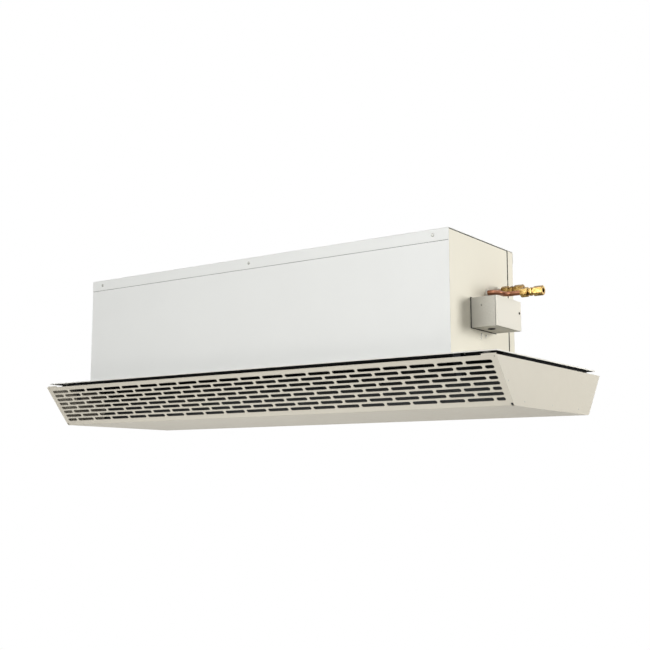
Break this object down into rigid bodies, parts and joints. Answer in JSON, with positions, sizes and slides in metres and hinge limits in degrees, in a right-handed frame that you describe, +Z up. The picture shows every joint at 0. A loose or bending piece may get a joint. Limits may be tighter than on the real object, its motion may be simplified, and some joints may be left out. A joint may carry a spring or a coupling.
{
  "type": "ceiling fan coil unit",
  "caption": "Recessed ceiling fan coil unit: sheet-metal casing above a flat pan, with a hinged, slotted grille tray below and two pipe couplings at one end.",
  "frame": {"origin": "centre of the ceiling pan on its upper face, which meets the ceiling; the pan's four fixing holes are centred on it", "axes": "+X along the unit towards the pipe couplings and the terminal box, +Y from the front to the rear, +Z up into the ceiling void"},
  "size_m": [1.229, 0.51, 0.35],
  "materials": {
    "casing_paint": "smooth satin white powder coat",
    "end_wall_paint": "satin warm white powder coat",
    "grille_paint": "fine satin warm grey powder coat",
    "pan_paint": "satin white powder coat",
    "galvanised": "galvanised sheet",
    "zinc": "bright zinc plate",
    "blackened_steel": "blackened spring steel",
    "black_foam": "closed-cell foam",
    "black_rubber": "moulded rubber",
    "grey_rubber": "moulded grommet rubber",
    "fin_aluminium": "thin bright fin stock",
    "copper": "drawn copper tube",
    "brass": "turned brass",
    "steel_shaft": "ground steel",
    "motor_paint": "dark grey enamel",
    "impeller_plastic": "glass-filled plastic",
    "box_plastic": "light grey moulded plastic",
    "terminal_plastic": "white moulded plastic",
    "filter_plastic": "dark moulded plastic",
    "filter_fibre": "needled fibre mat"
  },
  "bodies": {
    "casing": {"top_cover": "casing_paint", "cover_screws": "zinc", "front_panel": "casing_paint", "front_corner_angles": "galvanised", "rear_panel": "end_wall_paint", "left_end_wall": "end_wall_paint", "right_end_wall": "end_wall_paint", "ceiling_pan": "pan_paint", "pan_lining": "black_foam", "pan_screws": "zinc", "left_bulkhead": "galvanised", "right_bulkhead": "galvanised", "partition_plate": "galvanised", "plenum_divider": "motor_paint", "divider_seal": "black_foam", "fin_pack": "fin_aluminium", "coil_tubes": "copper", "return_bends": "copper", "front_tail": "copper", "front_pipe": "copper", "rear_pipe": "copper", "pipe_grommets": "grey_rubber", "inner_nuts": "brass", "coupling_bodies": "brass", "outer_nuts": "brass", "olives": "brass", "air_vent_body": "brass", "fan_scrolls": "galvanised", "fan_tongues": "galvanised", "motor_housing": "motor_paint", "motor_bracket": "galvanised", "motor_mounts": "black_rubber", "fan_bearings": "steel_shaft", "bearing_rubbers": "black_rubber", "terminal_box": "box_plastic", "terminal_box_cover": "box_plastic", "terminal_cover_screw": "zinc", "terminal_block": "terminal_plastic", "cable_grommet": "black_rubber", "end_wall_rivets": "zinc", "filter_rails": "galvanised", "hinge_brackets": "zinc", "hinge_pins": "steel_shaft", "catch_clips": "blackened_steel"},
    "vent": {"vent_screw": "zinc"},
    "fan": {"fan_shaft": "steel_shaft", "left_impeller": "impeller_plastic", "right_impeller": "impeller_plastic"},
    "filter": {"filter_frame": "filter_plastic", "filter_mat": "filter_fibre"},
    "tray": {"tray_shell": "grille_paint", "tray_left_end": "grille_paint", "tray_right_end": "grille_paint", "tray_end_rivets": "zinc", "hinge_arms": "zinc", "catch_strikers": "blackened_steel"}
  },
  "joints": [
    {"name": "tray_hinge", "type": "hinge", "parent": "casing", "child": "tray", "pos_m": [0, 0.24496, -0.022], "axis": [1, 0, 0], "range_deg": [0, 60]},
    {"name": "filter_drop", "type": "slide", "parent": "casing", "child": "filter", "axis": [0, 0, -1], "range_m": [0, 0.07]},
    {"name": "fan_spin", "type": "hinge", "parent": "casing", "child": "fan", "pos_m": [0, -0.0036, 0.078], "axis": [1, 0, 0], "continuous": true},
    {"name": "vent_turn", "type": "hinge", "parent": "casing", "child": "vent", "pos_m": [0.446, 0.05038, 0.19], "axis": [0, 0, 1], "range_deg": [0, 360]}
  ]
}
